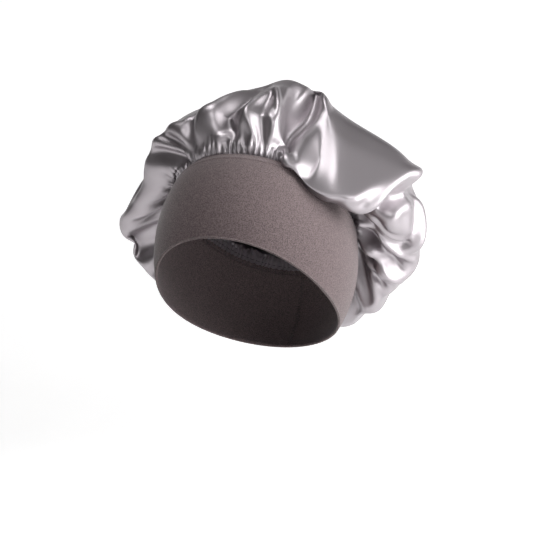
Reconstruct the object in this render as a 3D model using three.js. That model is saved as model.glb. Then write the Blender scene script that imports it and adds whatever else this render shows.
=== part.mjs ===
// A satin hair bonnet as it is worn: a gathered satin crown sewn to a wide stretch-knit band.
// Millimetres, +Z up on an upright head, -Y towards the wearer's face, +X towards the wearer's left.
// The origin is the centre of the head opening, the ring that the band's lower rim makes.
import * as THREE from "three";

const { abs, cos, exp, floor, hypot, log1p, min, PI, sin, sqrt, tan } = Math;
const degrees = THREE.MathUtils.degToRad;

// The head form that the band is stretched over, measured at the band's outer face
const headHalfWidth = 80;
const headHalfDepth = 96.4;
const headHalfHeight = 98;

// Band: one knit strip folded lengthwise, worn high on the forehead and low on the nape
const wearTilt = degrees(33.2);
const seamHeight = 50.8; // where the seam's plane meets the head form's upright axis, above its middle
const rimDepth = 47.8; // where the rim's plane meets that axis, below its middle
const rimArch = 3.3; // the rim rises this much at brow and nape, and dips as much over the ears
const knitThickness = 0.9;
const plyGap = 0.4;
const stripEndGap = 0.4; // between the strip's two ends at the nape

// Crown: one satin disc, its edge gathered into the seam
const satinThickness = 0.8;
const crownRise = 108; // height of the disc's middle over the seam's plane
const neckRise = 8; // the gathers stand up this much before they turn outwards
const neckInset = 1; // and are this far inside the seam's line there
const seamAllowance = 7; // both raw edges are turned down behind the band by this much

// The flap: a wide pleat of the crown that lies forward over the seam on the wearer's left. Its upper face is
// nearly flat: what would stand above this plane is pressed down on it.
const flapTurn = degrees(35.2); // the azimuth that the plane faces
const flapRise = degrees(12.8); // and how far it faces up from the seam's plane
const flapReach = 82; // its distance from the seam's centre
const flapSoftness = 2; // how gently the satin bends on to it
const flapStart = degrees(30); // the press begins at this azimuth
const flapFull = degrees(44); // and is full from here

// Threads, all on the side that lies against the head
const threadDiameter = 0.5;
const joiningLine = 1.8; // distance of the joining stitches below the seam
const overlockTop = 3.2; // distance of the overlock's upper turns below the seam
const stitchWave = 0.25;
const bandStitchWidth = 3;
const bandStitchPitch = 3.5;
const layClearance = 0.3; // between pieces that lie on each other

const satinColour = 0x9b9599;
const knitColour = 0x6b6162;
const threadColour = 0x4d484b;

// Places along the band, derived from the sizes above. Out is measured from the band's outer face.
const threadRadius = threadDiameter / 2;
const innerPlyOut = -(knitThickness + plyGap);
const innerPlyBack = innerPlyOut - knitThickness;
const allowanceOut = innerPlyBack - threadDiameter - 2 * layClearance;
const allowanceBack = allowanceOut - knitThickness;
const satinOut = allowanceBack - layClearance;
const satinBack = satinOut - satinThickness;
const threadOut = innerPlyBack - layClearance - threadRadius;
const threadBack = satinBack - layClearance - threadRadius;
const rollMiddle = allowanceBack / 2;
const rollRadius = abs(allowanceBack) / 2;
const foldMiddle = innerPlyBack / 2;
const foldRadius = abs(innerPlyBack) / 2;
const pliesTogether = seamAllowance + threadDiameter + 2 * layClearance; // below this nothing lies behind them

// Counts of facets
const ringSteps = 42;
const rollSteps = 3;
const foldSteps = 2;
const bandRowShares = [0.38, 0.7];
const threadSides = 3;
const stitchesPerStep = 2;
const foldPathSteps = 8;
const nudgeShare = 0.01; // a small step in any direction over a surface, to measure its slope

const side = new THREE.Vector3(1, 0, 0);
const back = new THREE.Vector3(0, cos(wearTilt), -sin(wearTilt)); // in the tilted planes, towards the nape
const axis = new THREE.Vector3(0, sin(wearTilt), cos(wearTilt)); // square to them, up and back

/** The ellipse in which the tilted plane at this height cuts the ellipsoid of the head form. */
function ringAt(height) {
  const slope = tan(wearTilt);
  const a = 1 / headHalfDepth ** 2 + (slope / headHalfHeight) ** 2;
  const b = (-2 * height * slope) / headHalfHeight ** 2;
  const c = (height / headHalfHeight) ** 2 - 1;
  const y = -b / (2 * a);
  const z = height - y * slope;
  return {
    centre: new THREE.Vector3(0, y, z),
    halfWidth: headHalfWidth * sqrt(1 - (y / headHalfDepth) ** 2 - (z / headHalfHeight) ** 2),
    halfLength: sqrt(b * b - 4 * a * c) / (2 * a) / cos(wearTilt),
  };
}

const headCentre = ringAt(-rimDepth).centre.negate();
const seamRing = ringAt(seamHeight);
const seamCentre = seamRing.centre.clone().add(headCentre);

/** The direction at this azimuth in the tilted planes: 0 at the brow, a quarter turn at the left ear. */
function outward(azimuth) {
  return side.clone().multiplyScalar(sin(azimuth)).addScaledVector(back, -cos(azimuth));
}

function ringRadius(ring, azimuth) {
  return 1 / hypot(sin(azimuth) / ring.halfWidth, cos(azimuth) / ring.halfLength);
}

/** A point of the band's outer face. Share 0 is the seam and 1 the rim. */
function facePoint(azimuth, share) {
  const ring = ringAt(THREE.MathUtils.lerp(seamHeight, -rimDepth, share));
  return outward(azimuth)
    .multiplyScalar(ringRadius(ring, azimuth))
    .add(ring.centre)
    .addScaledVector(axis, rimArch * share * cos(2 * azimuth))
    .add(headCentre);
}

function bandWidth(azimuth) {
  return facePoint(azimuth, 0).distanceTo(facePoint(azimuth, 1));
}

/** A point beside the band: the first length out from its face, the second down its face from the seam. */
function bandPoint(azimuth, out, down) {
  const share = down / bandWidth(azimuth);
  const downwards = facePoint(azimuth, share + nudgeShare).sub(facePoint(azimuth, share - nudgeShare));
  const along = facePoint(azimuth + nudgeShare, share).sub(facePoint(azimuth - nudgeShare, share));
  const normal = downwards.cross(along).normalize();
  return facePoint(azimuth, share).addScaledVector(normal, out);
}

/** The same on the band's flat facets, for what lies against them. */
function facetPoint(azimuth, out, down) {
  const step = (2 * PI) / ringSteps;
  const place = azimuth / step;
  const first = floor(place);
  return bandPoint(first * step, out, down).lerp(bandPoint((first + 1) * step, out, down), place - first);
}

/** A closed loop of [out, down] round the middle of a roll or fold: the part from one angle to the other. */
function arc(middle, radius, from, to, steps) {
  return Array.from({ length: steps + 1 }, (_, i) => {
    const angle = THREE.MathUtils.lerp(from, to, i / steps);
    return [middle[0] + radius * cos(angle), middle[1] - radius * sin(angle)];
  });
}

/** Distances below the seam at which both plies bend from one flat facet to the next. */
function plyRows(width) {
  return [pliesTogether, ...bandRowShares.map((share) => share * width)];
}

/** The strip's outline across its length: raw edge, roll over the seam, outer ply, rim fold, inner ply. */
function stripOutline(width) {
  const rows = plyRows(width);
  const rowsUp = [...rows].reverse();
  const roll = [rollMiddle, rollRadius];
  const fold = [foldMiddle, width - foldRadius];
  const at = (out) => (down) => [out, down];
  return [
    [allowanceOut, seamAllowance],
    ...arc(roll, rollRadius - knitThickness, PI, 0, rollSteps),
    ...rows.map(at(-knitThickness)),
    ...arc(fold, foldRadius - knitThickness, 0, -PI, 1),
    ...rowsUp.map(at(innerPlyOut)),
    [innerPlyOut, rollRadius],
    [innerPlyBack, rollRadius],
    ...rows.map(at(innerPlyBack)),
    ...arc(fold, foldRadius, -PI, 0, foldSteps),
    ...rowsUp.map(at(0)),
    ...arc(roll, rollRadius, 0, PI, rollSteps),
    [allowanceBack, seamAllowance],
  ];
}

/** The faces between equal rows of points, each row a closed loop. Joined rows also close on each other. */
function sideFaces(rows, joined) {
  const count = rows[0].length;
  const index = [];
  const last = joined ? rows.length : rows.length - 1;
  for (let r = 0; r < last; r += 1) {
    const next = (r + 1) % rows.length;
    for (let c = 0; c < count; c += 1) {
      const right = (c + 1) % count;
      index.push(r * count + c, next * count + c, next * count + right);
      index.push(r * count + c, next * count + right, r * count + right);
    }
  }
  return index;
}

/** The faces between a sheet's loops. Both of its sides are split along the outer side's shorter diagonals. */
function sheetFaces(rows) {
  const count = rows[0].length;
  const index = [];
  for (let r = 0; r < rows.length - 1; r += 1) {
    const inside = 2 * r > rows.length - 2;
    const outer = inside ? rows.length - 2 - r : r;
    for (let c = 0; c < count; c += 1) {
      const right = (c + 1) % count;
      const falling = rows[outer][c].distanceTo(rows[outer + 1][right]);
      const rising = rows[outer + 1][c].distanceTo(rows[outer][right]);
      const [a, b] = [r * count + c, (r + 1) * count + c];
      const [d, e] = [(r + 1) * count + right, r * count + right];
      const split = falling < rising !== inside ? [a, b, d, a, d, e] : [a, b, e, b, d, e];
      index.push(...split);
    }
  }
  return index;
}

/** The faces that close both end loops, each filled by these triangles of one loop. */
function endFaces(rows, triangles) {
  const end = (rows.length - 1) * rows[0].length;
  return triangles.flatMap(([a, b, c]) => [a, b, c, end + a, end + c, end + b]);
}

function piece(name, points, index, colour, roughness) {
  const geometry = new THREE.BufferGeometry()
    .setAttribute("position", new THREE.Float32BufferAttribute(points.flatMap((p) => p.toArray()), 3))
    .setIndex(index);
  geometry.computeVertexNormals();
  const material = new THREE.MeshStandardMaterial({ color: colour, roughness, metalness: 0 });
  const mesh = new THREE.Mesh(geometry, material);
  mesh.name = name;
  return mesh;
}

/** Loops round a thread that runs through these points. They keep their turn from one point to the next. */
function threadRows(points, joined) {
  const count = points.length;
  const at = (i) => (joined ? points[(i + count) % count] : points[THREE.MathUtils.clamp(i, 0, count - 1)]);
  const tangents = points.map((_, i) => at(i + 1).clone().sub(at(i - 1)).normalize());
  const turn = new THREE.Quaternion();
  const normals = [new THREE.Vector3().crossVectors(tangents[0], axis).normalize()];
  for (let i = 1; i < count + 1; i += 1) {
    turn.setFromUnitVectors(tangents[i - 1], tangents[i % count]);
    normals.push(normals[i - 1].clone().applyQuaternion(turn));
  }
  const across = new THREE.Vector3().crossVectors(tangents[0], normals[0]);
  const twist = joined ? Math.atan2(normals[count].dot(across), normals[count].dot(normals[0])) : 0;
  return points.map((point, i) => {
    const normal = normals[i].clone().applyAxisAngle(tangents[i], (-twist * i) / count);
    return Array.from({ length: threadSides }, (_, k) =>
      point.clone().addScaledVector(
        normal.clone().applyAxisAngle(tangents[i], (-2 * PI * k) / threadSides),
        threadRadius,
      ),
    );
  });
}

function thread(name, points, joined) {
  const rows = threadRows(points, joined);
  const ends = joined ? [] : endFaces(rows, [[0, 1, 2]]);
  return piece(name, rows.flat(), [...sideFaces(rows, joined), ...ends], threadColour, 0.8);
}

// Crown: meridians run from the seam over neck, belly, shoulder and crest to the disc's middle.
// One row for every sixteenth of a turn from the nape, in shares of crownRise: how far belly and shoulder
// stand out past the seam and how high they are, then the crest's radius and height.
const meridianShares = [
  [0.41, -0.31, 0.6, 0.17, 0.65, 0.83],
  [0.44, -0.3, 0.57, 0.19, 0.62, 0.83],
  [0.46, -0.34, 0.54, 0.2, 0.6, 0.84],
  [0.44, -0.36, 0.46, 0.22, 0.57, 0.81],
  [0.55, -0.12, 0.34, 0.36, 0.56, 0.81],
  [0.31, 0.05, 0.22, 0.45, 0.51, 0.81],
  [0.27, 0.2, 0.11, 0.57, 0.44, 0.83],
  [0.13, 0.33, -0.04, 0.61, 0.42, 0.85],
  [0.08, 0.32, -0.1, 0.66, 0.39, 0.9],
  [0.09, 0.28, -0.04, 0.68, 0.41, 0.95],
  [0.12, -0.16, -0.02, 0.52, 0.46, 0.9],
  [0.24, -0.19, 0.15, 0.4, 0.5, 0.82],
  [0.26, -0.07, 0.44, 0.36, 0.54, 0.77],
  [0.5, -0.04, 0.41, 0.41, 0.57, 0.78],
  [0.43, -0.2, 0.54, 0.24, 0.63, 0.8],
  [0.37, -0.33, 0.61, 0.13, 0.67, 0.82],
];
const meridianKnots = 6; // the curve's parts: the last one is the far side's crest, for a level middle
const crownRows = [1, 1.3, 1.6, 1.9, 2.2, 2.5, 2.8, 3.1, 3.45, 3.8, 4.2, 4.6]; // neck 1, belly 2, shoulder 3, crest 4
const crownMiddle = 5;

// The crown's main folds, each with its half width and its height as shares of crownRise and its way over the
// crown as azimuth in degrees and place on the meridian. A height below 0 makes a valley.
const foldShares = [
  [0.26, 0.08, [[-44, 1.1], [-59, 1.44], [-70, 1.64], [-80, 1.85], [-94, 2.1]]], // the left lobe's ridge
  [0.14, -0.06, [[-62, 2.4], [-51, 1.9], [-43, 1.6], [-36, 1.26]]],
  [0.14, 0.06, [[-38, 2.5], [-32, 1.96], [-26, 1.48], [-16, 1.15]]],
  [0.2, 0.08, [[-8, 3], [-9, 2.16], [-12, 1.8], [-9, 1.2]]],
  [0.14, -0.08, [[-7, 2.9], [-6, 2.26], [-2, 1.86], [4, 1.15]]],
  [0.14, 0.07, [[17, 3], [17, 2.5], [16, 2], [18, 1]]],
  [0.15, -0.16, [[27, 3.6], [29, 2.6], [30, 2.2], [29, 1.5], [27, 1]]], // the deep valley beside the flap
  [0.14, 0.1, [[50, 3.7], [42, 2.6], [38, 2.1], [35, 1.2]]],
  [0.18, 0.06, [[40, 1.3], [56, 1.7], [75, 1.95], [85, 2.6], [105, 3.15]]], // the flap's rolled lip
  [0.2, -0.1, [[110, 2.8], [99, 2.5], [90, 2.1], [86, 1.7]]], // the pocket under it
  [0.16, -0.05, [[102, 2.3], [107, 1.9], [120, 1.4]]],
  [0.16, 0.05, [[129, 1.4], [121, 1.8], [114, 2.4]]],
  [0.14, -0.11, [[143, 1.1], [148, 1.5], [149, 1.9], [146, 2.7]]], // the notch above the nape
  [0.15, 0.06, [[152, 1.2], [152, 1.8], [155, 2.5]]],
  [0.14, -0.08, [[-91, 2.3], [-97, 1.75], [-100, 1.4]]],
  [0.15, -0.08, [[-116, 1.2], [-119, 1.8], [-122, 2.6], [-120, 3.3]]],
  [0.18, 0.07, [[-132, 1.2], [-135, 1.8], [-138, 2.6], [-134, 3.6]]],
  [0.15, -0.09, [[-148, 1.2], [-150, 1.7], [-153, 2.5], [-150, 3.5]]],
  [0.18, 0.06, [[-163, 1.2], [-166, 1.8], [-170, 2.7], [-168, 3.8]]],
  [0.15, -0.09, [[-179, 1.2], [-181, 1.8], [-184, 2.6], [-180, 3.4]]],
  [0.18, 0.06, [[168, 1.2], [167, 1.8], [166, 2.8], [168, 3.9]]],
];

/** The smooth value between the middle two of four neighbours. */
function between(before, from, to, after, share) {
  const [square, cube] = [share ** 2, share ** 3];
  return (
    (2 * cube - 3 * square + 1) * from +
    ((cube - 2 * square + share) * (to - before)) / 2 +
    (3 * square - 2 * cube) * to +
    ((cube - square) * (after - from)) / 2
  );
}

/** The meridian at this azimuth, as lengths out from the seam ring's middle and up from its plane. */
function meridianAt(azimuth) {
  const count = meridianShares.length;
  const place = ((azimuth + PI) / (2 * PI)) * count;
  const first = floor(place);
  const row = (offset) => meridianShares[(first + offset + count) % count];
  const [bellyOut, bellyUp, shoulderOut, shoulderUp, crestRadius, crestUp] = row(0).map(
    (_, i) => crownRise * between(row(-1)[i], row(0)[i], row(1)[i], row(2)[i], place - first),
  );
  const radius = ringRadius(seamRing, azimuth);
  const outline = [
    [radius + satinOut, 0],
    [radius - neckInset, neckRise],
    [radius + bellyOut, bellyUp],
    [radius + shoulderOut, shoulderUp],
    [crestRadius, crestUp],
    [0, crownRise],
    [-crestRadius, crestUp],
  ];
  const knots = outline.map(([out, up]) => new THREE.Vector3(out, up, 0));
  return new THREE.CatmullRomCurve3(knots, false, "centripetal");
}

function smoothCrownPoint(azimuth, place) {
  const { x, y } = meridianAt(azimuth).getPoint(place / meridianKnots);
  return outward(azimuth).multiplyScalar(x).add(seamCentre).addScaledVector(axis, y);
}

function normalOf(pointAt, azimuth, place) {
  const along = pointAt(azimuth + nudgeShare, place).sub(pointAt(azimuth - nudgeShare, place));
  const up = pointAt(azimuth, place + nudgeShare).sub(pointAt(azimuth, place - nudgeShare));
  return along.cross(up).normalize();
}

const foldWays = foldShares.map(([halfWidth, height, way]) => {
  const knots = way.map(([azimuth, place]) => new THREE.Vector3(azimuth, place, 0));
  const line = new THREE.CatmullRomCurve3(knots, false, "catmullrom").getPoints(knots.length * foldPathSteps);
  const points = line.map(({ x, y }) => smoothCrownPoint(degrees(x), y));
  const normals = line.map(({ x, y }) => normalOf(smoothCrownPoint, degrees(x), y));
  return { halfWidth: crownRise * halfWidth, height: crownRise * height, points, normals };
});

/** How far the main folds lift the satin: each one a bump across its way that dies away at both ends. */
function foldHeight(point, normal) {
  let total = 0;
  foldWays.forEach(({ halfWidth, height, points, normals }) => {
    const distances = points.map((onWay) => onWay.distanceTo(point));
    const nearest = distances.indexOf(min(...distances));
    const across = distances[nearest] / halfWidth;
    const facing = THREE.MathUtils.clamp(2 * normal.dot(normals[nearest]), 0, 1);
    if (across < 1) {
      const taper = sqrt(sin((PI * (nearest + 1)) / (points.length + 1)));
      total += height * (1 - across ** 2) ** 2 * taper * facing;
    }
  });
  return total;
}

const flapFacing = outward(flapTurn).multiplyScalar(cos(flapRise)).addScaledVector(axis, sin(flapRise));

/** Presses a point of the crown down on the flap's plane, and bends it gently where it comes near. */
function pressedOnFlap(point, azimuth) {
  const above = point.clone().sub(seamCentre).dot(flapFacing) - flapReach;
  const pressed = -flapSoftness * log1p(exp(-above / flapSoftness));
  const share = THREE.MathUtils.smoothstep(azimuth, flapStart, flapFull);
  return point.addScaledVector(flapFacing, (pressed - above) * share);
}

function crownPoint(azimuth, place) {
  const smooth = smoothCrownPoint(azimuth, place);
  const normal = normalOf(smoothCrownPoint, azimuth, place);
  const folded = smooth.clone().addScaledVector(normal, foldHeight(smooth, normal));
  return pressedOnFlap(folded, azimuth);
}

const azimuths = Array.from({ length: ringSteps }, (_, i) => -PI + (2 * PI * i) / ringSteps);

function crownPanel() {
  const outer = crownRows.map((place) => azimuths.map((azimuth) => crownPoint(azimuth, place)));
  const inner = crownRows.map((place) =>
    azimuths.map((azimuth) =>
      crownPoint(azimuth, place).addScaledVector(normalOf(crownPoint, azimuth, place), -satinThickness),
    ),
  );
  const edge = (out, down) => azimuths.map((azimuth) => bandPoint(azimuth, out, down));
  const rows = [
    ...outer.reverse(),
    edge(satinOut, 0),
    edge(satinOut, seamAllowance),
    edge(satinBack, seamAllowance),
    edge(satinBack, 0),
    ...inner,
  ];
  const middle = smoothCrownPoint(0, crownMiddle);
  const points = [...rows.flat(), middle, middle.clone().addScaledVector(axis, -satinThickness)];
  const index = sheetFaces(rows);
  const last = (rows.length - 1) * ringSteps;
  for (let c = 0; c < ringSteps; c += 1) {
    const right = (c + 1) % ringSteps;
    index.push(points.length - 2, c, right);
    index.push(points.length - 1, last + right, last + c);
  }
  return piece("crown_panel", points, index, satinColour, 0.35);
}

function bandStrip() {
  const endTurn = stripEndGap / 2 / seamRing.halfLength;
  const turns = [-PI + endTurn, ...azimuths.slice(1), PI - endTurn];
  const rows = turns.map((azimuth) =>
    stripOutline(bandWidth(azimuth)).map(([out, down]) => bandPoint(azimuth, out, down)),
  );
  const outline = stripOutline(bandWidth(PI)).map(([out, down]) => new THREE.Vector2(out, down));
  const triangles = THREE.ShapeUtils.triangulateShape(outline, []).map(([a, b, c]) => [c, b, a]);
  return piece("band_strip", rows.flat(), [...sideFaces(rows, false), ...endFaces(rows, triangles)], knitColour, 0.95);
}

/** Overlocking: the thread goes back and forth over the raw edges of strip and crown. */
function overlockThread() {
  const overlockEdge = seamAllowance + layClearance + threadRadius;
  const turns = [
    [0, threadBack, overlockTop],
    [0.2, threadBack, overlockEdge],
    [0.3, threadOut, overlockEdge],
    [0.5, threadOut, overlockTop],
    [0.7, threadOut, overlockEdge],
    [0.8, threadBack, overlockEdge],
  ];
  const pitch = (2 * PI) / (ringSteps * stitchesPerStep);
  const points = Array.from({ length: ringSteps * stitchesPerStep }, (_, i) => i).flatMap((i) =>
    turns.map(([share, out, down]) => facetPoint(-PI + (i + share) * pitch, out, down)),
  );
  return thread("overlock_thread", points, true);
}

/** The stitches that hold the crown to the band, a line just below the seam on the head's side. */
function joiningThread() {
  const count = ringSteps * stitchesPerStep * 2;
  const points = Array.from({ length: count }, (_, i) =>
    facetPoint(-PI + (2 * PI * i) / count, threadBack, joiningLine + (i % 2 ? stitchWave : -stitchWave)),
  );
  return thread("joining_thread", points, true);
}

/** The zigzag that holds the strip's ends together at the nape, on the inner ply. */
function bandSeamThread() {
  const halfTurn = bandStitchWidth / 2 / seamRing.halfLength;
  const width = bandWidth(PI);
  const rows = [...plyRows(width), width - foldRadius];
  const points = rows.slice(1).flatMap((below, r) => {
    const above = rows[r];
    const count = 2 * floor((below - above) / bandStitchPitch);
    return Array.from({ length: count }, (_, i) => {
      const azimuth = PI + (i % 2 ? halfTurn : -halfTurn);
      const share = (i + 1 / 2) / count;
      return bandPoint(azimuth, threadOut, above).lerp(bandPoint(azimuth, threadOut, below), share);
    });
  });
  return thread("band_seam_thread", points, false);
}

const group = new THREE.Group();
group.add(crownPanel(), bandStrip(), overlockThread(), joiningThread(), bandSeamThread());

export default group;
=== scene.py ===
import math
import bpy
import numpy as np
from mathutils import Matrix, Vector


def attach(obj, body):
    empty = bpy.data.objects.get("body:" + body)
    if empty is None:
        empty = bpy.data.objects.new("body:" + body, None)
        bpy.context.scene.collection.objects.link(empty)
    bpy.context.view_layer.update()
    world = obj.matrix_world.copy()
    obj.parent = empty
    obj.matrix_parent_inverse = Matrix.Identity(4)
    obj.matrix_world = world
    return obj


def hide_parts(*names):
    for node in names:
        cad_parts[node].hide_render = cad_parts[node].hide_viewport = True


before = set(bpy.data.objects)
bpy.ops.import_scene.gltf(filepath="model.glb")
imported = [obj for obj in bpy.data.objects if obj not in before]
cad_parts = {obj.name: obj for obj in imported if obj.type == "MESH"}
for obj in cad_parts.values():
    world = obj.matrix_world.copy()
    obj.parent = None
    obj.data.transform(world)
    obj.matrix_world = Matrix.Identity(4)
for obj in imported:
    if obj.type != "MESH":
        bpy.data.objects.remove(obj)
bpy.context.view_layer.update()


# The view. The bonnet is seen from a little to the wearer's left, level with the brow, with the head
# leaning slightly to one side. The head form's middle is the point that the view turns about. In these
# comments an ear is the wearer's, and any other left or right is the view's.
head_middle = np.array([0.0, 0.02149, 0.03364])
view_turn, view_rise, view_lean = math.radians(25.0), math.radians(1.0), math.radians(-2.65)
view_distance = 1.3158
aim_right, aim_down = 0.01033, 0.01079

to_camera = Vector((math.sin(view_turn) * math.cos(view_rise), -math.cos(view_turn) * math.cos(view_rise),
                    math.sin(view_rise)))
level_right = Vector((math.cos(view_turn), math.sin(view_turn), 0.0))
level_up = to_camera.cross(level_right)
right = level_right * math.cos(view_lean) + level_up * math.sin(view_lean)
up = level_up * math.cos(view_lean) - level_right * math.sin(view_lean)
stand = Vector(head_middle) + to_camera * view_distance
look = (Vector(head_middle) + right * aim_right - up * aim_down - stand).normalized()
camera_right = look.cross(up).normalized()
camera_up = camera_right.cross(look)
camera_data = bpy.data.cameras.new("camera")
camera_data.lens = 107.5
camera_data.sensor_width = 36.0
camera = bpy.data.objects.new("camera", camera_data)
camera.matrix_world = Matrix((
    (camera_right.x, camera_up.x, -look.x, stand.x),
    (camera_right.y, camera_up.y, -look.y, stand.y),
    (camera_right.z, camera_up.z, -look.z, stand.z),
    (0.0, 0.0, 0.0, 1.0)))
bpy.context.scene.collection.objects.link(camera)
bpy.context.scene.camera = camera
bpy.context.scene.view_settings.view_transform = "Standard"


# The head's own shape as the band shows it: an egg-like form, cut by two parallel planes that lean
# back. The upper cut is the seam between crown and band, and the lower one is the band's rim.
HEAD_HALF = np.array([0.080, 0.0964, 0.098])
WEAR_TILT = math.radians(33.2)
SEAM_HEIGHT, RIM_HEIGHT = 0.0508, -0.0478
RIM_ARCH = 0.0033
SIDEWAYS = np.array([1.0, 0.0, 0.0])
BACKWARDS = np.array([0.0, math.cos(WEAR_TILT), -math.sin(WEAR_TILT)])
CROWNWARDS = np.array([0.0, math.sin(WEAR_TILT), math.cos(WEAR_TILT)])


def cut(height):
    """The oval where a leaning plane at this height cuts the egg: its middle, half width and half length.
    The middle is where the plane's line in the side view is halfway through the egg's outline."""
    slope = math.tan(WEAR_TILT)
    a = 1 / HEAD_HALF[1] ** 2 + (slope / HEAD_HALF[2]) ** 2
    b = -2 * height * slope / HEAD_HALF[2] ** 2
    c = (height / HEAD_HALF[2]) ** 2 - 1
    y = -b / (2 * a)
    z = height - y * slope
    half_width = HEAD_HALF[0] * np.sqrt(1 - (y / HEAD_HALF[1]) ** 2 - (z / HEAD_HALF[2]) ** 2)
    half_length = np.sqrt(b * b - 4 * a * c) / (2 * a) / math.cos(WEAR_TILT)
    middle = np.stack(np.broadcast_arrays(0.0 * y, y, z), -1)
    return middle + head_middle, half_width, half_length


def outward(azimuth):
    """The direction away from the middle in the leaning planes: sin(azimuth) sideways less cos(azimuth)
    backwards, so 0 is at the brow and 90 degrees at the left ear."""
    return np.sin(azimuth)[..., None] * SIDEWAYS - np.cos(azimuth)[..., None] * BACKWARDS


def oval_radius(azimuth, half_width, half_length):
    """An oval's radius: 1 over the hypotenuse of sin(azimuth) / half width and cos(azimuth) / half length."""
    return 1 / np.hypot(np.sin(azimuth) / half_width, np.cos(azimuth) / half_length)


def grid_mesh(name, points, around=True, extra_points=(), extra_faces=()):
    """A smooth mesh over a grid of points, its rows closed on themselves when around is true.
    Row r and column c make a quad with the next ones, wound so that it faces out."""
    rows, columns = points.shape[:2]
    index = np.arange(rows * columns).reshape(rows, columns)
    nxt = np.roll(index, -1, axis=1) if around else index[:, 1:]
    cur = index if around else index[:, :-1]
    quads = np.stack([cur[:-1], nxt[:-1], nxt[1:], cur[1:]], -1).reshape(-1, 4)
    faces = quads.tolist() + [list(f) for f in extra_faces]
    all_points = np.concatenate([points.reshape(-1, 3), np.array(extra_points).reshape(-1, 3)])
    mesh = bpy.data.meshes.new(name)
    mesh.from_pydata(all_points.tolist(), [], faces)
    mesh.polygons.foreach_set("use_smooth", [True] * len(mesh.polygons))
    mesh.update()
    piece = bpy.data.objects.new(name, mesh)
    bpy.context.scene.collection.objects.link(piece)
    return piece


# Crown: one disc of silver-grey satin, about 490 mm across when flat. Its edge is gathered to a third of
# its length and sewn into the band, and its fullness billows out over the seam and droops at the nape.
CROWN_RISE = 0.108
NECK_RISE, NECK_INSET, START_INSET = 0.008, 0.001, 0.0055
# Sixteen meridians, from the nape round by the right ear, the brow and the left ear. Each says how far its
# belly, shoulder and crest lie out and up, as shares of the rise. Belly and shoulder count out from the
# seam, and the crest from the middle.
CROWN_MERIDIAN_SHARES = np.array([
    [0.41, -0.31, 0.6, 0.17, 0.65, 0.83],
    [0.44, -0.3, 0.57, 0.19, 0.62, 0.83],
    [0.46, -0.34, 0.54, 0.2, 0.6, 0.84],
    [0.44, -0.36, 0.46, 0.22, 0.57, 0.81],
    [0.55, -0.12, 0.34, 0.36, 0.56, 0.81],
    [0.31, 0.05, 0.22, 0.45, 0.51, 0.81],
    [0.27, 0.2, 0.11, 0.57, 0.44, 0.83],
    [0.13, 0.33, -0.04, 0.61, 0.42, 0.85],
    [0.08, 0.32, -0.1, 0.66, 0.39, 0.9],
    [0.09, 0.28, -0.04, 0.68, 0.41, 0.95],
    [0.12, -0.16, -0.02, 0.52, 0.46, 0.9],
    [0.24, -0.19, 0.15, 0.4, 0.5, 0.82],
    [0.26, -0.07, 0.44, 0.36, 0.54, 0.77],
    [0.5, -0.04, 0.41, 0.41, 0.57, 0.78],
    [0.43, -0.2, 0.54, 0.24, 0.63, 0.8],
    [0.37, -0.33, 0.61, 0.13, 0.67, 0.82],
])
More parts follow.
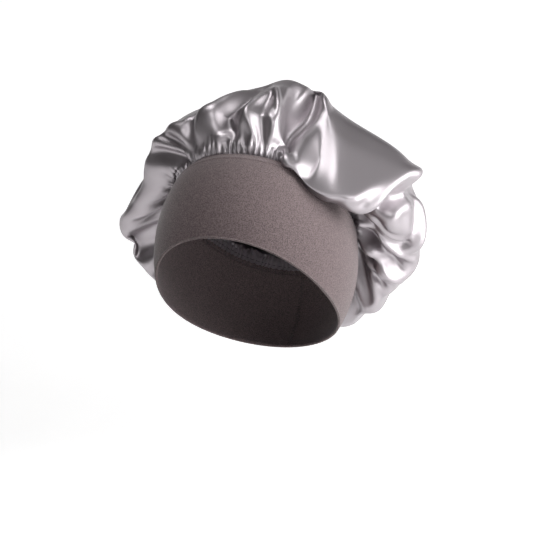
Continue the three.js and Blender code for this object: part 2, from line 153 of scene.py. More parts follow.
# Each fold: half width and height in mm, how round its crest is, and its way over the crown as azimuth
# in degrees and place on the meridian. A height below nothing makes a valley.
FOLDS = [
    # the lobe before the right ear, and the pleats between it and the brow
    (20, 11, 2.0, [(-44, 1.1), (-59, 1.44), (-70, 1.64), (-80, 1.85), (-87, 2.03), (-94, 2.1)]),
    (12, 6, 2.0, [(-57.5, 1.9), (-50.5, 1.64), (-45.5, 1.42), (-43.5, 1.06)]),
    (8, -6, 1.6, [(-49, 1.85), (-44, 1.66), (-40.5, 1.5), (-36, 1.28), (-31, 1.0)]),
    (7, 5, 2.0, [(-44.5, 2.1), (-42.5, 1.98), (-39, 1.72), (-34.5, 1.46), (-26, 1.12)]),
    (6, -5, 1.6, [(-38, 1.92), (-35, 1.72), (-31, 1.46), (-24, 1.1)]),
    (10, 4, 2.0, [(-35, 2.3), (-32.5, 1.98), (-28.5, 1.64), (-23.5, 1.3), (-15, 0.8)]),
    # the valley beside the long ridge, the ridge, the valley right of it, and three puffs at the seam
    (9, -6, 1.6, [(-19, 2.6), (-20, 2.15), (-22, 1.75), (-23, 1.46), (-18, 1.1)]),
    (18, 6.5, 2.0, [(-4.5, 3.3), (-7.5, 2.8), (-10.5, 2.3), (-13, 1.96), (-15, 1.7), (-14.5, 1.4),
                    (-12, 1.05)]),
    (11, -10, 1.6, [(3, 3.4), (0, 2.6), (-2, 2.1), (-1, 1.64), (2, 1.38), (3, 1.05)]),
    (4.5, 4, 2.0, [(-5, 1.25), (-2, 1.33), (1, 1.25), (1.5, 0.85)]),
    (4, 4, 2.0, [(7, 1.8), (6, 1.4), (6.5, 0.85)]),
    (3.5, 3, 2.0, [(12, 1.25), (12.5, 0.8)]),
    # the lens-shaped fold above the brow: left ridge, floor and right ridge
    (5.5, 4, 2.0, [(13, 2.75), (10, 2.44), (8, 2.06), (10, 1.7), (13, 1.38), (15, 1.1)]),
    (8, -4, 2.0, [(16, 2.7), (15.5, 2.1), (17, 1.6), (18, 1.1)]),
    (5.5, 4, 2.0, [(17, 3.0), (21, 2.6), (24.5, 2.26), (25, 1.96), (24, 1.56), (23, 1.35)]),
    # the valley before the flap, the flap's left ridge, its lip and the hollow behind the lip
    (14, -10, 1.6, [(37, 3.6), (34, 3.1), (32, 2.6), (30, 2.1), (29, 1.6), (28, 1.1)]),
    (14, 12, 1.8, [(50, 3.7), (45, 2.9), (41, 2.45), (38, 2.1), (36, 1.7), (34, 1.3), (34, 1.0)]),
    (9, 13, 1.6, [(40, 1.3), (46, 1.6), (56, 1.7), (67, 1.8), (75, 1.95), (80, 2.3), (85, 2.6), (91, 2.85),
                  (98, 3.05), (105, 3.15)]),
    (10, -14, 1.5, [(108, 2.9), (102, 2.8), (96, 2.62), (91, 2.4), (87, 2.15), (86, 1.8)]),
    # the folds that run from the flap's corner down over the left ear
    (12, 7, 2.0, [(93, 2.5), (95, 2.1), (102, 1.75), (110, 1.5)]),
    (9, 6, 1.8, [(93, 2.8), (96, 2.55), (101, 2.2), (110, 1.66), (121, 1.45)]),
    (6, -8, 1.4, [(104, 2.7), (106, 2.35), (109, 1.95), (115, 1.7), (123, 1.56)]),
    # small gathers at the seam under the flap
    (4, 2.5, 2.0, [(47, 0.9), (48, 1.2), (50, 1.6)]),
    (4, 2.5, 2.0, [(54, 0.9), (55, 1.2), (57, 1.6)]),
    (4, -2.5, 2.0, [(50.5, 0.9), (51.5, 1.2), (53, 1.6)]),
    # the lobes over and behind the left ear, with the valleys that part them
    (7, -9, 1.5, [(99, 1.05), (106, 1.2), (112, 1.27), (118, 1.34)]),
    (4, -4, 1.5, [(127, 1.05), (124, 1.26), (124, 1.42)]),
    (9, 8, 1.8, [(137, 1.12), (129, 1.44), (119, 1.66), (112, 2.1), (109, 2.7)]),
    (5, -7, 1.4, [(142, 1.15), (139, 1.38), (131, 1.52), (122, 1.7)]),
    (9, 7, 2.0, [(141, 1.35), (136, 1.6), (131, 1.85), (125, 2.3)]),
    (6, -5, 1.5, [(145, 1.3), (142, 1.5), (139, 1.75)]),
    (12, -13, 1.5, [(143, 1.0), (147, 1.3), (149, 1.6), (150, 1.9)]),
    (13, 6, 2.0, [(150, 1.2), (150, 1.8), (153, 2.5)]),
    (7, -5, 1.4, [(157, 1.2), (157, 1.74), (160, 2.3)]),
    # narrow pleats that fan out from the band over the left ear
    (5, 5, 1.8, [(101, 0.9), (104, 1.3), (108, 1.8)]),
    (5, -6, 1.6, [(107, 0.9), (110, 1.3), (113, 1.8)]),
    (5, 5, 1.8, [(113, 0.9), (116, 1.3), (120, 1.8), (122, 2.1)]),
    (5, -6, 1.6, [(121, 0.9), (123, 1.3), (126, 1.8)]),
    (5, 5, 1.8, [(127, 0.9), (129, 1.3), (132, 1.8), (133, 2.1)]),
    (5, -6, 1.6, [(134, 0.9), (136, 1.3), (138, 1.7)]),
    # behind the right ear and across the back, which the photo doesn't show
    (12, -6, 1.6, [(-93, 2.3), (-95, 2.05), (-97, 1.75), (-100, 1.4)]),
    (15, 3, 2.0, [(-101, 2.3), (-105, 1.95), (-109, 1.6)]),
    (14, -6, 1.6, [(-116, 1.2), (-119, 1.8), (-122, 2.6), (-120, 3.3)]),
    (18, 8, 2.0, [(-132, 1.2), (-135, 1.8), (-138, 2.6), (-134, 3.6)]),
    (15, -10, 1.5, [(-148, 1.2), (-150, 1.7), (-153, 2.5), (-150, 3.5)]),
    (18, 7, 2.0, [(-163, 1.2), (-166, 1.8), (-170, 2.7), (-168, 3.8)]),
    (15, -10, 1.5, [(-179, 1.2), (-181, 1.8), (-184, 2.6), (-180, 3.4)]),
    (18, 7, 2.0, [(168, 1.2), (167, 1.8), (166, 2.8), (168, 3.9)]),
]
seam_middle, seam_half_width, seam_half_length = cut(SEAM_HEIGHT)


def hermite(start, leave, end, arrive, share):
    """The cubic from start to end with these slopes at its ends, s being the share of the way:
    (2s^3 - 3s^2 + 1) start + (s^3 - 2s^2 + s) leave + (3s^2 - 2s^3) end + (s^3 - s^2) arrive."""
    return ((2 * share ** 3 - 3 * share ** 2 + 1) * start + (share ** 3 - 2 * share ** 2 + share) * leave
            + (3 * share ** 2 - 2 * share ** 3) * end + (share ** 3 - share ** 2) * arrive)


def smooth_between(before, start, end, after, share):
    """The cubic from start to end whose slope at each is half the step between its neighbours."""
    return hermite(start, (end - before) / 2, end, (after - start) / 2, share)


def crown_outline(azimuth):
    """Meridian knots as lengths out and up: seam, neck, belly, shoulder, crest, middle, and the far crest."""
    count = len(CROWN_MERIDIAN_SHARES)
    place = (azimuth + math.pi) / (2 * math.pi) * count
    first = np.floor(place).astype(int)
    row = [CROWN_MERIDIAN_SHARES[(first + k) % count] for k in (-1, 0, 1, 2)]
    net = CROWN_RISE * smooth_between(*row, (place - first)[..., None])
    radius = oval_radius(azimuth, seam_half_width, seam_half_length)
    nothing = np.zeros_like(radius)
    knots = [(radius - START_INSET, nothing), (radius - NECK_INSET, nothing + NECK_RISE),
             (radius + net[..., 0], net[..., 1]), (radius + net[..., 2], net[..., 3]),
             (net[..., 4], net[..., 5]), (nothing, nothing + CROWN_RISE), (-net[..., 4], net[..., 5])]
    return np.stack([np.stack(k, -1) for k in knots], -2)


def smooth_crown(azimuth, place):
    """The crown without its folds: a centripetal spline through the meridian's knots, turned to its azimuth.
    Place 0 is the seam, 1 the neck, 2 the belly, 3 the shoulder, 4 the crest and 5 the middle."""
    azimuth, place = np.broadcast_arrays(azimuth, place)
    knots = crown_outline(azimuth)
    knots = np.concatenate([2 * knots[..., :1, :] - knots[..., 1:2, :], knots], -2)
    first = np.clip(np.floor(place).astype(int), 0, 4)
    p0, p1, p2, p3 = [
        np.take_along_axis(knots, np.repeat((first + k)[..., None, None], 2, -1), -2)[..., 0, :]
        for k in range(4)]
    d0, d1, d2 = [np.sqrt(np.linalg.norm(b - a, axis=-1, keepdims=True)) + 1e-9
                  for a, b in ((p0, p1), (p1, p2), (p2, p3))]
    leave = ((p1 - p0) / d0 - (p2 - p0) / (d0 + d1) + (p2 - p1) / d1) * d1
    arrive = ((p2 - p1) / d1 - (p3 - p1) / (d1 + d2) + (p3 - p2) / d2) * d1
    out_up = hermite(p1, leave, p2, arrive, (place - first)[..., None])
    return seam_middle + outward(azimuth) * out_up[..., :1] + CROWNWARDS * out_up[..., 1:]


def normals(points):
    """Unit normals of a grid of points closed around its columns, facing out."""
    along = np.roll(points, -1, axis=1) - np.roll(points, 1, axis=1)
    upward = np.gradient(points, axis=0)
    n = np.cross(along, upward)
    return n / (np.linalg.norm(n, axis=-1, keepdims=True) + 1e-12)


def fold_lift(points, facing, folds):
    """How far folds lift the points. Each fold's way is a smooth curve through its knots, drawn on the crown.
    A point's share of the fold is (1 - q^p)^2, q being its distance from the curve over the half width and
    p the roundness. That is times a taper, the root of a sine along the curve, and it counts only where the
    surface faces the same way as at the curve."""
    steps_between_knots, nudge = 8, 0.02
    lift = np.zeros(len(points))
    for half_width, height, roundness, knots in folds:
        knots = np.array(knots, float)
        knots = np.concatenate([2 * knots[:1] - knots[1:2], knots, 2 * knots[-1:] - knots[-2:-1]])
        spans = len(knots) - 3
        along = np.linspace(0, spans, steps_between_knots * spans + 1)
        first = np.minimum(np.floor(along).astype(int), spans - 1)
        way = smooth_between(*[knots[first + k] for k in range(4)], (along - first)[:, None])
        azimuth, place = np.radians(way[:, 0]), way[:, 1]
        curve = smooth_crown(azimuth, place)
        normal = np.cross(smooth_crown(azimuth + nudge, place) - smooth_crown(azimuth - nudge, place),
                          smooth_crown(azimuth, place + nudge) - smooth_crown(azimuth, place - nudge))
        normal /= np.linalg.norm(normal, axis=-1, keepdims=True)
        reach = half_width / 1000
        in_box = (points > curve.min(0) - reach) & (points < curve.max(0) + reach)
        near = np.flatnonzero(np.all(in_box, axis=-1))
        step = np.diff(curve, axis=0)
        offset = points[near, None] - curve[None, :-1]
        share = np.clip((offset * step).sum(-1) / (step * step).sum(-1), 0, 1)
        distance = np.linalg.norm(offset - share[..., None] * step, axis=-1)
        best = distance.argmin(1)
        rows = np.arange(len(near))
        q = np.clip(distance[rows, best] / reach, 0, 1)
        length = (best + share[rows, best]) / len(step)
        taper = np.sqrt(np.sin(math.pi * np.clip(length * 0.9 + 0.05, 0, 1)))
        agree = np.clip((facing[near] * normal[best]).sum(-1) * 2, 0, 1)
        lift[near] += height / 1000 * (1 - q ** roundness) ** 2 * taper * agree
    return lift


chance = np.random.default_rng(7)


def gather_phase(azimuth, count):
    """A phase that grows by one at each gather, the gathers being of uneven width."""
    widths = 0.6 + 0.8 * chance.random(count)
    edges = np.concatenate([[0], np.cumsum(widths)]) / widths.sum() * 2 * math.pi - math.pi
    return np.interp(azimuth, edges, np.arange(count + 1))


crown_columns = 500
crown_places = np.concatenate([np.linspace(0, 1, 12), np.linspace(1, 2, 26)[1:], np.linspace(2, 3, 24)[1:],
                               np.linspace(3, 4, 20)[1:], np.linspace(4, 4.94, 14)[1:]])
azimuths = np.linspace(-math.pi, math.pi, crown_columns, endpoint=False)[None, :]
places = crown_places[:, None]
body = smooth_crown(azimuths, places)
steps = np.linalg.norm(np.diff(body, axis=0), axis=-1)
from_seam = np.concatenate([np.zeros((1, crown_columns)), np.cumsum(steps, axis=0)])


def ease(share):
    """0 up to 0, 1 from 1 on, and 3s^2 - 2s^3 between them."""
    share = np.clip(share, 0, 1)
    return share * share * (3 - 2 * share)


def window(value, start, full, last, gone):
    """Eases from 0 at start to 1 at full, and from 1 at last back to 0 at gone."""
    return ease((value - start) / (full - start)) * ease((gone - value) / (gone - last))


# Broad gathers rise just above the seam all round, lower at the front. Small chance folds run from the right
# ear round the back to the left one, where the photo shows little or nothing.
degrees = np.degrees(azimuths)
at_front = np.clip((degrees + 75) / 20, 0, 1) * np.clip((50 - degrees) / 15, 0, 1)
GATHER_HEIGHT, LOWER_AT_FRONT, GATHER_FULL, GATHER_GONE = 0.0020, 0.0010, 0.010, 0.030
middling = gather_phase(azimuths, 41)
middle_gathers = ((GATHER_HEIGHT - LOWER_AT_FRONT * at_front) * (0.5 - 0.5 * np.cos(2 * math.pi * middling))
                  * window(from_seam, 0, GATHER_FULL, GATHER_FULL, GATHER_GONE))
chance_folds, chance_roundness = [], 1.7
for k in range(64):
    start = 0.95 + 0.25 * chance.random()
    azimuth = -180 + 360 * (k + chance.random()) / 64
    lean = chance.normal(0, 3)
    end = start + 0.35 + 0.75 * chance.random()
    if -70 < azimuth < 110:
        continue
    half_width = 4 + 4 * chance.random()
    height = (1.2 + 2.4 * chance.random()) * (-1 if k % 2 else 1)
    way = [(azimuth, start), (azimuth + lean, (start + end) / 2), (azimuth + 2 * lean, end)]
    chance_folds.append((half_width, height, chance_roundness, way))
base_normals = normals(body)
flat_body, flat_normals = body.reshape(-1, 3), base_normals.reshape(-1, 3)
lift = fold_lift(flat_body, flat_normals, FOLDS) + fold_lift(flat_body, flat_normals, chance_folds)
lift = lift.reshape(body.shape[:2])

# Three stretches are drawn in a little, so that their folds end at the photo's outline: from the right ear
# back, above the brow, and behind the left ear.
RIGHT_EAR_DEPTH, BROW_DEPTH, LEFT_EAR_DEPTH = 0.0025, 0.0045, 0.003
drawn_in = (RIGHT_EAR_DEPTH * np.clip(places - 1, 0, 1) * np.clip(3.5 - places, 0, 1)
            * np.clip((-60 - degrees) / 10, 0, 1))
drawn_in = drawn_in + BROW_DEPTH * window(places, 1.9, 2.4, 3.3, 3.8) * at_front
drawn_in = drawn_in + (LEFT_EAR_DEPTH * window(degrees, 132, 146, 160, 174)
                       * window(places, 1.2, 1.9, 2.6, 3.4))
crown_points = body + base_normals * (lift + middle_gathers - drawn_in)[..., None]

# The flap's upper face lies in two nearly flat parts. Its left part is brought onto the first plane, from the
# pleat's edge on; then what stands above the second plane is pressed down on it.
TURN_POINT, TURN_FACING = np.array([0.0633, 0.0335, 0.1356]), np.array([0.1884, -0.7635, 0.6177])
FLAP_POINT, FLAP_FACING = np.array([0.0878, 0.0011, 0.0851]), np.array([0.562, -0.545, 0.622])
pleat_edge = np.interp(places, [1.6, 2.2, 2.6, 2.9, 3.1, 3.3, 3.6], [33, 36, 38, 40, 42, 44, 48])
on_turn = window(degrees, pleat_edge, pleat_edge + 4, 54, 64) * window(places, 2.0, 2.6, 3.2, 3.6)
above = (crown_points - TURN_POINT) @ TURN_FACING
crown_points = crown_points - (above * on_turn)[..., None] * TURN_FACING
on_flap = window(degrees, 30, 44, 100, 108) * ease((places - 1.2) / 0.3)
above = (crown_points - FLAP_POINT) @ FLAP_FACING
softness = 0.0015 + 0.0020 * np.clip(places - 2.4, 0, 1)
pressed = -softness * np.logaddexp(0, -above / softness)
crown_points = crown_points + ((pressed - above) * on_flap)[..., None] * FLAP_FACING

# The right part stays flat as far as the lip, where the cloth rolls under.
FORWARD = np.array([0.4226, -0.9061, 0.0175])
LIP_DEGREES = [56, 60, 65, 70, 75, 80, 84, 87, 92]
LIP_PLACES = [2.2, 2.17, 2.1, 2.15, 2.35, 2.52, 2.72, 2.88, 3.1]
LIP_TUCK = 0.004
lip = np.interp(degrees, LIP_DEGREES, LIP_PLACES)
by_lip = window(degrees, 56, 64, 88, 92)
above = (crown_points - FLAP_POINT) @ FLAP_FACING
brought = above / (FLAP_FACING @ FORWARD) * by_lip * window(places, lip - 0.12, lip, 2.8, 3.1)
crown_points = crown_points - brought[..., None] * FORWARD
tucked = LIP_TUCK * by_lip * window(places, 1.1, 1.5, lip - 0.3, lip)
crown_points = crown_points + tucked[..., None] * CROWNWARDS

# Left of the flap the cloth is drawn in to a deep pleat: a long slope runs down into it from the left, and
# the flap's edge laps over its bottom.
INWARD = np.array([-0.338, 0.725, -0.614])
lap_edge = np.interp(places, [1.2, 1.5, 2.15, 2.6, 3.0, 3.4, 3.8], [30, 31, 34, 37.5, 43, 47, 50])
in_pleat = window(degrees, lap_edge - 11, lap_edge - 1.5, lap_edge - 2.5, lap_edge)
drawn = np.interp(places, [1.0, 1.5, 2.0, 3.0, 3.5, 3.9], [0, 8, 20, 18, 8, 0]) / 1000 * in_pleat
back = np.interp(places, [2.0, 2.8, 3.6, 4.2, 4.6], [0, 12, 16, 8, 0]) / 1000 * in_pleat
crown_points = crown_points + drawn[..., None] * INWARD - back[..., None] * FORWARD

# Over the left ear the lobes stand forward where they leave the band, and fall back towards their outer edge.
OUTWARD = np.array([0.9063, 0.4226, 0.0])
LOBE_MIDDLE, LOBE_SHEAR, LOBE_SHARE = 0.113, 0.018, 0.7
at_ear = LOBE_SHARE * window(degrees, 92, 102, 154, 168) * window(places, 0.55, 1.05, 3.0, 4.0)
sideways = crown_points @ OUTWARD - head_middle @ OUTWARD
forward_by = np.clip(LOBE_MIDDLE - sideways, -LOBE_SHEAR, LOBE_SHEAR) * at_ear
crown_points = crown_points + forward_by[..., None] * FORWARD


def settle(start, flat, spare_round, spare_along, passes, hold, stiffness):
    """Cloth let go from a start shape. Each pass moves the points towards the lengths that the cut cloth has
    between neighbours, round, along and on both diagonals, evens out sharp bends, and pulls a little
    towards the start shape. A point keeps part of its last step, as a moving thing does."""
    step_kept, share_pulled = 0.93, 0.17
    ways = []
    for rows, columns in ((0, 1), (1, 0), (1, 1), (1, -1)):
        here = flat[:-1] if rows else flat
        there = np.roll(flat, -columns, axis=1)[rows:]
        ways.append((rows, columns, np.linalg.norm(there - here, axis=-1)))
    rest_round = ways[0][2] * (1 + spare_round)
    rest_along = ways[1][2] * (1 + spare_along)
    grown = rest_round ** 2 - ways[0][2] ** 2
    grown_along = rest_along ** 2 - ways[1][2] ** 2
    rests = [rest_round, rest_along] + [np.sqrt(w[2] ** 2 + grown[:-1] + grown_along) for w in ways[2:]]
    points, before = start.copy(), start.copy()
    for _ in range(passes):
        step = (points - before) * step_kept
        before = points.copy()
        points = points + step
        move = np.zeros_like(points)
        for (rows, columns, _), rest in zip(ways, rests):
            here = points[:-1] if rows else points
            there = np.roll(points, -columns, axis=1)[rows:]
            gap = there - here
            length = np.sqrt((gap * gap).sum(-1)) + 1e-9
            pull = gap * ((length - rest) / length * share_pulled)[..., None]
            if rows:
                move[:-1] += pull
                move[1:] -= np.roll(pull, columns, axis=1)
            else:
                move += pull
                move -= np.roll(pull, columns, axis=1)
        points += move
        bend = 0.5 * (np.roll(points, 1, 1) + np.roll(points, -1, 1)) - points
        bend = 0.5 * (np.roll(bend, 1, 1) + np.roll(bend, -1, 1)) - bend
        points -= stiffness * bend
        bend = 0.5 * (points[:-2] + points[2:]) - points[1:-1]
        points[2:-2] -= stiffness * (0.5 * (bend[:-2] + bend[2:]) - bend[1:-1])
        points += hold * (start - points)
    return points


# The cut cloth is longer round the crown than the space it has, most of all near the seam, so it buckles as
# it settles. On the flap, above the brow and over the left ear it has less to spare and is held closer to
# its start.
at_side = window(degrees, 88, 98, 150, 160)
spare = np.interp(places, [0, 0.3, 1.0, 2.0, 3.0, 4.0, 5.0], [0, 0.3, 0.4, 0.25, 0.12, 0.06, 0.0])
spare = spare * (1 - 0.95 * on_flap) * (1 - 0.6 * at_side)
spare = spare * (1 - 0.97 * at_front * np.clip((places - 0.8) / 0.4, 0, 1))
hold = np.interp(places, [0, 0.35, 0.7, 1.0, 2.0, 4.0, 4.9], [1, 1, 0.1, 0.02, 0.004, 0.004, 0.3])
hold = hold + 0.05 * on_flap + 0.05 * at_front + 0.03 * at_side
crown_points = settle(crown_points, body, spare_round=spare, spare_along=0.02, passes=300,
                      hold=hold[..., None], stiffness=0.25)


def twice_round(values):
    """The same rows with twice the columns. Between b and c, with a before and d after them, comes a new
    point, (9 (b + c) - (a + d)) / 16."""
    between = (9 * (values + np.roll(values, -1, 1)) - np.roll(values, 1, 1) - np.roll(values, -2, 1)) / 16
    return np.stack([values, between], 2).reshape(values.shape[0], -1, *values.shape[2:])


# The finest gathers, which the needle took up one by one, go on last: round on top and sharp between. They
# run on over the last 7 mm of the cloth, which are turned down behind the band. One point closes the top.
crown_columns *= 2
crown_points, from_seam = twice_round(crown_points), twice_round(from_seam)
azimuths = np.linspace(-math.pi, math.pi, crown_columns, endpoint=False)[None, :]
SEAM_GATHER, FINE_GATHER, FINE_FULL = 0.0010, 0.0022, 0.004
fine = np.abs(np.sin(math.pi * gather_phase(azimuths, 120)))
gather_end = 0.012 + 0.010 * np.sin(math.pi * gather_phase(azimuths, 29)) ** 2
fine_height = (SEAM_GATHER * (1 - ease(from_seam / FINE_FULL))
               + FINE_GATHER * window(from_seam, 0, FINE_FULL, FINE_FULL, gather_end))
crown_points = crown_points + normals(crown_points) * (fine_height * fine)[..., None]
allowance = np.linspace(0.007, 0.0015, 4)[:, None, None]
crown_points = np.concatenate([crown_points[:1] - CROWNWARDS * allowance, crown_points])
crown_top = smooth_crown(np.array([0.0]), np.array([5.0]))[0]
last_row = (len(crown_points) - 1) * crown_columns
pole = len(crown_points) * crown_columns
pole_faces = [(last_row + c, last_row + (c + 1) % crown_columns, pole) for c in range(crown_columns)]
crown = grid_mesh("crown", crown_points, extra_points=[crown_top], extra_faces=pole_faces)


def linear(hex_colour):
    """An sRGB colour written in hex, as the linear values that a shader takes."""
    parts = [int(hex_colour[i:i + 2], 16) / 255 for i in (0, 2, 4)]
    return tuple(p / 12.92 if p <= 0.04045 else ((p + 0.055) / 1.055) ** 2.4 for p in parts) + (1.0,)


def add_node(tree, kind, inputs=None, **settings):
    """Adds a node, sets what it is told, and links or fills its inputs."""
    made = tree.nodes.new(kind)
    for name, value in settings.items():
        setattr(made, name, value)
    for name, value in (inputs or {}).items():
        if isinstance(value, bpy.types.NodeSocket):
            tree.links.new(value, made.inputs[name])
        else:
            made.inputs[name].default_value = value
    return made


def new_material(name):
    """A material with an empty node tree, and that tree."""
    material = bpy.data.materials.new(name)
    material.use_nodes = True
    material.node_tree.nodes.clear()
    return material, material.node_tree


# Polyester satin: long floats of bright filament lie side by side, so the face shines in broad soft
# streaks on every ridge and goes dark in the valleys. The yarns show only as a very fine grain.
satin, tree = new_material("polyester_satin")
place_on = add_node(tree, "ShaderNodeTexCoord")
yarns = add_node(tree, "ShaderNodeTexNoise", {
    "Vector": place_on.outputs["Object"], "Scale": 900.0, "Detail": 2.0})
bump = add_node(tree, "ShaderNodeBump", {"Height": yarns.outputs["Fac"], "Strength": 0.1, "Distance": 0.0002})
shader = add_node(tree, "ShaderNodeBsdfPrincipled", {
    "Base Color": linear("B0AAAE"), "Roughness": 0.44, "Metallic": 0.96, "IOR": 1.5,
    "Sheen Weight": 0.05, "Sheen Roughness": 0.4, "Normal": bump.outputs["Normal"]})
add_node(tree, "ShaderNodeOutputMaterial", {"Surface": shader.outputs["BSDF"]})
crown.data.materials.append(satin)
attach(crown, "root")
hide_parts("crown_panel")


# Band: one strip of heather jersey, folded lengthwise along the rim so that it is double, and
# stretched smooth over brow, ears and nape. Its upper edges are rolled inside and sewn to the crown.
ALLOWANCE_RIDGE, ALLOWANCE_EDGE, RIDGE_WIDTH = 0.0005, 0.008, 0.0012
BAND_ROWS = 99


def band_face(azimuth, share):
    """The band's outer face: at each share from seam to rim the leaning oval of the egg, arched at the rim by
    share times cos(2 azimuth). The edge of the cloth turned in below the seam shows through as a faint
    ridge, exp(-(d / w)^2) times its height, d being the distance from that edge and w the ridge's width."""
    height = SEAM_HEIGHT + (RIM_HEIGHT - SEAM_HEIGHT) * share
    middle, half_width, half_length = cut(height)
    radius = oval_radius(azimuth, half_width, half_length)
    arch = RIM_ARCH * share * np.cos(2 * azimuth)
    from_edge = share * (SEAM_HEIGHT - RIM_HEIGHT) - ALLOWANCE_EDGE
    ridge = ALLOWANCE_RIDGE * np.exp(-(from_edge / RIDGE_WIDTH) ** 2)
    return middle + outward(azimuth) * (radius + ridge)[..., None] + CROWNWARDS * arch[..., None]


band_columns = 360
band_azimuths = np.linspace(-math.pi, math.pi, band_columns, endpoint=False)[None, :]
band_shares = np.linspace(0, 1, BAND_ROWS)[:, None]
face = band_face(*np.broadcast_arrays(band_azimuths, band_shares))
face_normals = -normals(face)
down = np.gradient(face, axis=0)
down /= np.linalg.norm(down, axis=-1, keepdims=True)
# Round the strip's section: allowance end, roll over the seam, outer ply, rim fold, inner ply.
roll_radius, fold_radius, allowance_length = 0.0021, 0.0011, 0.007
roll = []
for angle in np.linspace(math.pi, 0, 9):
    roll.append(face[0] + face_normals[0] * (-roll_radius + roll_radius * math.cos(angle))
                + down[0] * (roll_radius - roll_radius * math.sin(angle)))
allowance_end = face[0] - face_normals[0] * 2 * roll_radius + down[0] * allowance_length
outer = [face[i] for i in range(2, BAND_ROWS - 1)]
fold = [face[-1] + face_normals[-1] * (-fold_radius + fold_radius * math.cos(a))
        - down[-1] * (fold_radius + fold_radius * math.sin(a)) for a in np.linspace(0, -math.pi, 7)]
inner = [face[i] - face_normals[i] * 2 * fold_radius for i in range(BAND_ROWS - 2, 1, -1)]
band_points = np.stack([allowance_end] + roll + outer + fold + inner)
band = grid_mesh("band", band_points[::-1])

# Heather jersey: dyed and undyed fibres are spun together and knitted, so the dark taupe face is
# flecked at the scale of one stitch, about 0.9 mm, and it is matt with a faint bloom at its edges.
jersey, tree = new_material("heather_jersey")
place_on = add_node(tree, "ShaderNodeTexCoord")
flecks = add_node(tree, "ShaderNodeTexNoise", {
    "Vector": place_on.outputs["Object"], "Scale": 1100.0, "Detail": 2.0, "Roughness": 0.6})
tone = add_node(tree, "ShaderNodeMapRange", {
    "Value": flecks.outputs["Fac"], "From Min": 0.36, "From Max": 0.64})
colour = add_node(tree, "ShaderNodeMix", {
    "Factor": tone.outputs["Result"], "A": linear("544849"), "B": linear("7E6E6F")}, data_type="RGBA")
bump = add_node(tree, "ShaderNodeBump", {
    "Height": flecks.outputs["Fac"], "Strength": 0.35, "Distance": 0.0003})
shader = add_node(tree, "ShaderNodeBsdfPrincipled", {
    "Base Color": colour.outputs[2], "Roughness": 0.9, "IOR": 1.5,
    "Sheen Weight": 0.25, "Sheen Roughness": 0.5, "Normal": bump.outputs["Normal"]})
add_node(tree, "ShaderNodeOutputMaterial", {"Surface": shader.outputs["BSDF"]})
band.data.materials.append(jersey)
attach(band, "root")
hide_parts("band_strip")


# Threads: spun polyester, over the raw edges inside the band, along the seam and down the nape. Short
# fibres stand off the yarn, so it's matt, and close to it has a fine fuzz.
spun, tree = new_material("spun_polyester_thread")
place_on = add_node(tree, "ShaderNodeTexCoord")
fibres = add_node(tree, "ShaderNodeTexNoise", {
    "Vector": place_on.outputs["Object"], "Scale": 2500.0, "Detail": 2.0})
bump = add_node(tree, "ShaderNodeBump", {
    "Height": fibres.outputs["Fac"], "Strength": 0.4, "Distance": 0.0001})
shader = add_node(tree, "ShaderNodeBsdfPrincipled", {
    "Base Color": linear("4D484B"), "Roughness": 0.7, "Normal": bump.outputs["Normal"]})
add_node(tree, "ShaderNodeOutputMaterial", {"Surface": shader.outputs["BSDF"]})
for name in ("overlock_thread", "joining_thread", "band_seam_thread"):
    node = bpy.data.objects[name]
    for slot in node.material_slots:
        slot.material = spun


# The studio: seamless paper that sweeps up behind the bonnet, with a wide ground of the same paper under it.
# It glows only to the camera and to glossy and transmission rays, so it looks white and lights nothing matt.
sweep = [(-0.9, 0.0), (0.9, 0.0), (1.15, 0.03), (1.35, 0.14), (1.45, 0.35), (1.45, 1.15)]
sweep_half_width, ground_half_width, floor_height = 2.4, 6.0, -0.21
turned = np.array([[math.cos(view_turn), math.sin(view_turn)], [-math.sin(view_turn), math.cos(view_turn)]])
sweep_points = np.array([[np.append(np.array([across, back]) @ turned, rise + floor_height)
                          for across in (-sweep_half_width, sweep_half_width)] for back, rise in sweep])
floor = grid_mesh("floor", sweep_points, around=False)
paper, tree = new_material("seamless_paper")
shader = add_node(tree, "ShaderNodeBsdfDiffuse", {"Color": linear("F4F4F4")})
glow = add_node(tree, "ShaderNodeEmission", {"Color": (1, 1, 1, 1), "Strength": 0.55})
rays = add_node(tree, "ShaderNodeLightPath")
either = add_node(tree, "ShaderNodeMath", {
    0: rays.outputs["Is Camera Ray"], 1: rays.outputs["Is Glossy Ray"]}, operation="ADD")
seen = add_node(tree, "ShaderNodeMath", {
    0: either.outputs["Value"], 1: rays.outputs["Is Transmission Ray"]}, operation="ADD", use_clamp=True)
dark = add_node(tree, "ShaderNodeEmission", {"Color": (0, 0, 0, 1), "Strength": 0.0})
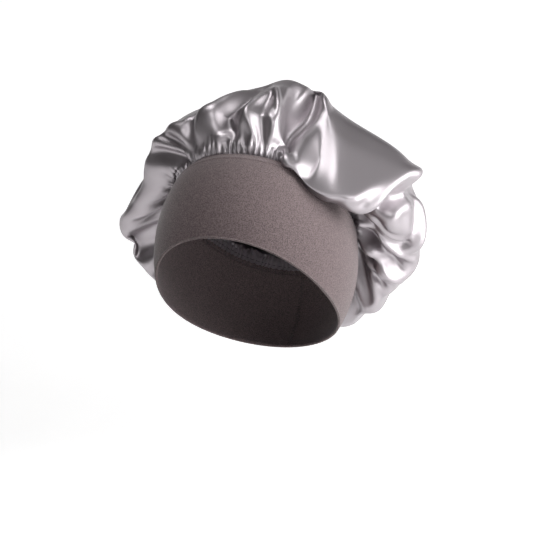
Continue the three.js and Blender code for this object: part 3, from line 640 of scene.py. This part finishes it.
pick = add_node(tree, "ShaderNodeMixShader", {
    "Fac": seen.outputs["Value"], 1: dark.outputs["Emission"], 2: glow.outputs["Emission"]})
both = add_node(tree, "ShaderNodeAddShader", {0: shader.outputs["BSDF"], 1: pick.outputs["Shader"]})
add_node(tree, "ShaderNodeOutputMaterial", {"Surface": both.outputs["Shader"]})
floor.data.materials.append(paper)
ground_points = np.array([[(x, y, floor_height - 0.001) for x in (-ground_half_width, ground_half_width)]
                          for y in (-ground_half_width, ground_half_width)])
ground = grid_mesh("ground", ground_points, around=False)
ground.data.materials.append(paper)

# The room adds a very faint warm light from all round.
world = bpy.data.worlds.new("studio")
bpy.context.scene.world = world
world.use_nodes = True
world.node_tree.nodes["Background"].inputs["Color"].default_value = (1, 0.84, 0.84, 1)
world.node_tree.nodes["Background"].inputs["Strength"].default_value = 0.025


def lamp(name, place, aim, size, power):
    """A soft rectangular lamp of this size in metres and power in watts, turned from its place to its aim."""
    data = bpy.data.lights.new(name, "AREA")
    data.shape = "RECTANGLE"
    data.size, data.size_y = size
    data.energy = power
    made = bpy.data.objects.new(name, data)
    made.location = place
    made.rotation_euler = (Vector(aim) - Vector(place)).to_track_quat("-Z", "Y").to_euler()
    bpy.context.scene.collection.objects.link(made)
    return made


def in_view(sideways, upwards, towards):
    """A place given from the camera's side: to its right, up, and towards it, from the head form's middle."""
    return Vector(head_middle) + level_right * sideways + Vector((0, 0, 1)) * upwards + to_camera * towards


# A large lamp at the right gives the band its shading, one overhead lights the flap's left face and the
# ridges, a small one above the camera the front folds, and a weak one keeps the left from going black.
lamp("key", in_view(1.25, 0.3, 0.35), in_view(0, 0, 0), (1.2, 1.3), 27)
lamp("top", in_view(-0.05, 1.25, 0.08), in_view(0, 0, 0), (0.6, 0.5), 6)
lamp("front", in_view(0.15, 0.75, 1.1), in_view(0, 0, 0), (0.3, 0.3), 3.0)
lamp("fill", in_view(-1.2, 0.4, 0.3), in_view(0, 0, 0), (0.3, 1.0), 0.2)
